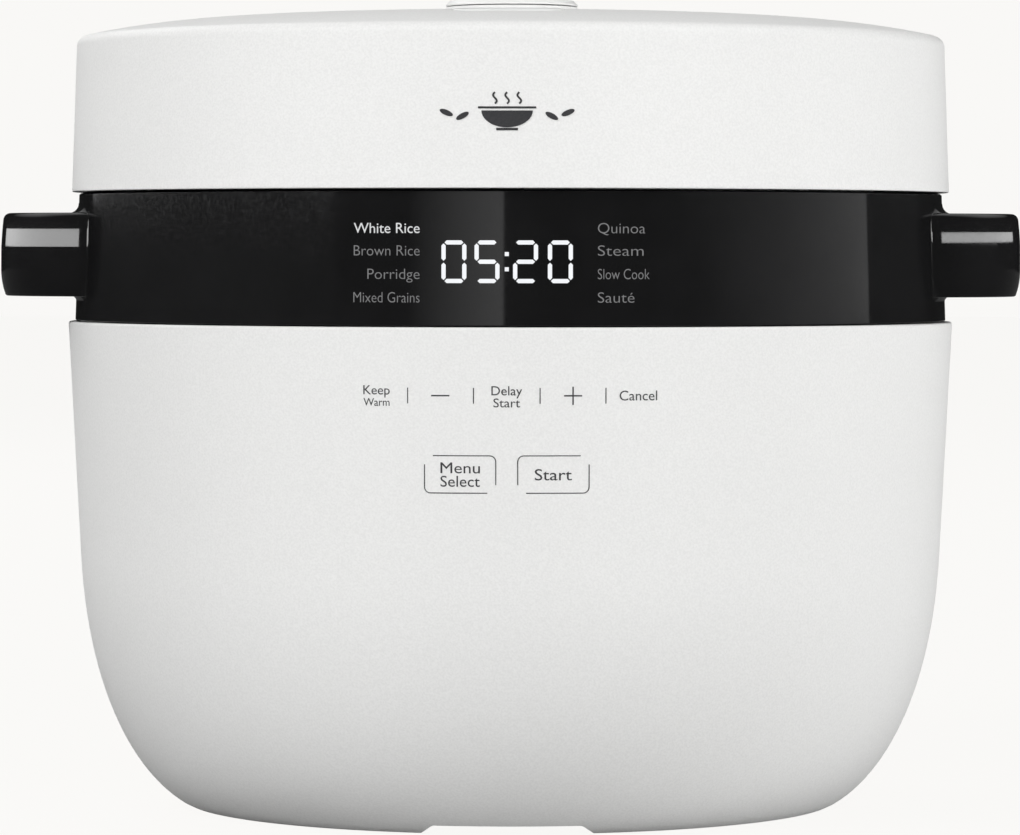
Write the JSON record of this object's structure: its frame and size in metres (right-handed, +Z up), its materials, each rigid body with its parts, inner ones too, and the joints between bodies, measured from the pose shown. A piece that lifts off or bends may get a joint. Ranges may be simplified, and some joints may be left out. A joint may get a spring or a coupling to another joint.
{
  "type": "rice cooker",
  "caption": "Round electric rice cooker: tapered white shell, black display band with side ear handles, hinged white lid with push latch and lift-out steam vent, hanging pot, plate heater.",
  "frame": {"origin": "on the surface that the feet stand on, under the middle of the whole object's box; the pot's axis stands 8 mm in front of it", "axes": "+Z up, -Y the front with the display, +X to the right of someone who faces the front"},
  "size_m": [0.3276, 0.2994, 0.2605],
  "materials": {
    "white_shell": "fine moulded texture, satin",
    "white_trim": "smooth satin",
    "black_gloss": "polished",
    "display_gloss": "polished smoked window with light digits and printed labels",
    "black_matte": "fine texture",
    "liner_dark": "satin",
    "non_stick": "speckled non-stick coating inside, spun aluminium outside",
    "aluminium": "brushed",
    "cast_aluminium": "cast, turned on top",
    "steel": "zinc plated",
    "silicone": "matte",
    "rubber": "matte",
    "circuit": "coated board",
    "transformer": "varnished laminations",
    "display_light": "lit from behind",
    "print_grey": "screen print",
    "guide_white": "smooth",
    "cup_smoke": "smoked translucent",
    "brass": "polished",
    "ceramic": "unglazed"
  },
  "bodies": {
    "body": {"outer_shell": "white_shell", "bottom_cover": "black_matte", "foot_1": "rubber", "foot_2": "rubber", "foot_3": "rubber", "foot_4": "rubber", "cover_screw_1": "steel", "cover_screw_2": "steel", "cover_screw_3": "steel", "cover_screw_4": "steel", "collar": "black_gloss", "display_lens": "display_gloss", "light_guide": "guide_white", "display_board": "circuit", "touch_board": "circuit", "right_handle": "black_gloss", "left_handle": "black_gloss", "handle_screw_1": "steel", "handle_screw_2": "steel", "handle_screw_3": "steel", "handle_screw_4": "steel", "inner_pot": "non_stick", "heat_shield": "aluminium", "heating_plate": "cast_aluminium", "heater_element": "steel", "plate_post_1": "ceramic", "plate_post_2": "ceramic", "plate_post_3": "ceramic", "sensor_bracket": "steel", "sensor_spring": "steel", "power_board": "circuit", "transformer": "transformer", "relay": "black_matte", "inlet_housing": "black_matte", "inlet_pin_live": "brass", "inlet_pin_neutral": "brass", "inlet_pin_earth": "brass", "hinge_pin": "steel", "hinge_spring": "steel"},
    "lid": {"lid_shell": "white_shell", "lid_liner": "liner_dark", "inner_lid": "aluminium", "gasket": "silicone", "lid_sensor": "steel", "vent_well": "liner_dark", "vent_seal": "silicone", "button_frame": "liner_dark", "button_spring": "steel", "latch_pin": "steel", "latch_spring": "steel"},
    "release_button": {"release_button": "white_trim"},
    "latch": {"latch_lever": "black_matte"},
    "steam_vent": {"vent_chamber": "white_trim"},
    "vent_cover": {"vent_cap": "white_trim"},
    "sensor": {"sensor_cap": "aluminium"},
    "water_cup": {"condensation_cup": "cup_smoke"}
  },
  "joints": [
    {"name": "lid_hinge", "type": "hinge", "parent": "body", "child": "lid", "pos_m": [0, 0.14, 0.192], "axis": [-1, 0, 0], "range_deg": [0, 85]},
    {"name": "release_press", "type": "slide", "parent": "lid", "child": "release_button", "axis": [0, 0, -1], "range_m": [0, 0.0025], "stiffness_N_per_m": 600, "springref_m": -0.001, "deforming": ["button_spring"]},
    {"name": "latch_turn", "type": "hinge", "parent": "lid", "child": "latch", "pos_m": [0, -0.1379, 0.214], "axis": [-1, 0, 0], "range_deg": [0, 6.3]},
    {"name": "vent_lift", "type": "slide", "parent": "lid", "child": "steam_vent", "axis": [0, 0, 1], "range_m": [0, 0.045]},
    {"name": "vent_cover_lift", "type": "slide", "parent": "steam_vent", "child": "vent_cover", "axis": [0, 0, 1], "range_m": [0, 0.014]},
    {"name": "sensor_press", "type": "slide", "parent": "body", "child": "sensor", "axis": [0, 0, 1], "range_m": [-0.002, 0], "stiffness_N_per_m": 400, "springref_m": 0.002, "deforming": ["sensor_spring"]},
    {"name": "water_cup_slide", "type": "slide", "parent": "body", "child": "water_cup", "axis": [0, 1, 0], "range_m": [0, 0.035]}
  ],
  "couplings": [
    {"joint": "latch_turn", "follows": "release_press", "rad_per_m": 40}
  ]
}
